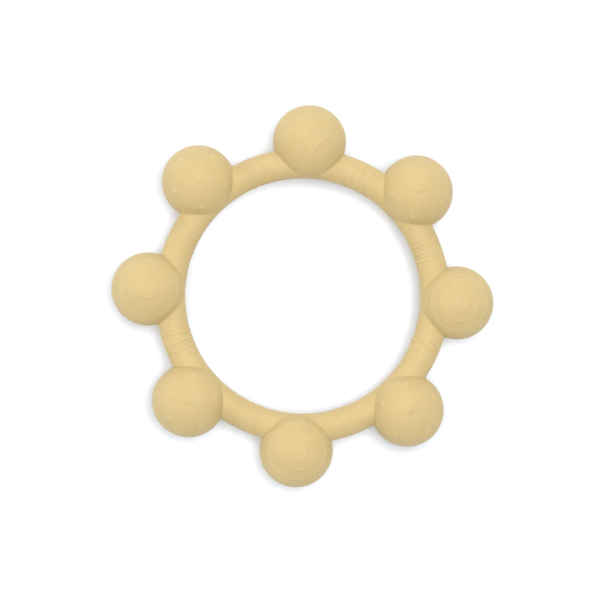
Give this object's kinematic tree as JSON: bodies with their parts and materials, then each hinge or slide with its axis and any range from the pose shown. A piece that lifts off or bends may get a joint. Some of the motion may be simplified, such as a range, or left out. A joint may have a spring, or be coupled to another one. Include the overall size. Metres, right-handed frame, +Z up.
{
  "type": "teething ring",
  "caption": "Soft silicone teething ring: a round grip ring with raised ridges, set round with chew balls that carry raised dots, rings or a heart.",
  "frame": {"origin": "on the surface that the ring lies on, under the centre of the ring; the middle dots on the underside of the dotted balls touch it", "axes": "+Z up along the ring's axis; +Y towards the heart ball; +X to the right as seen from above"},
  "size_m": [0.1, 0.1, 0.0196],
  "materials": {
    "silicone": "matte"
  },
  "bodies": {
    "root": {"grip_ring": "silicone", "heart_ball": "silicone", "dotted_ball_1": "silicone", "ringed_ball_1": "silicone", "dotted_ball_2": "silicone", "ringed_ball_2": "silicone", "dotted_ball_3": "silicone", "ringed_ball_3": "silicone", "dotted_ball_4": "silicone"}
  },
  "joints": []
}
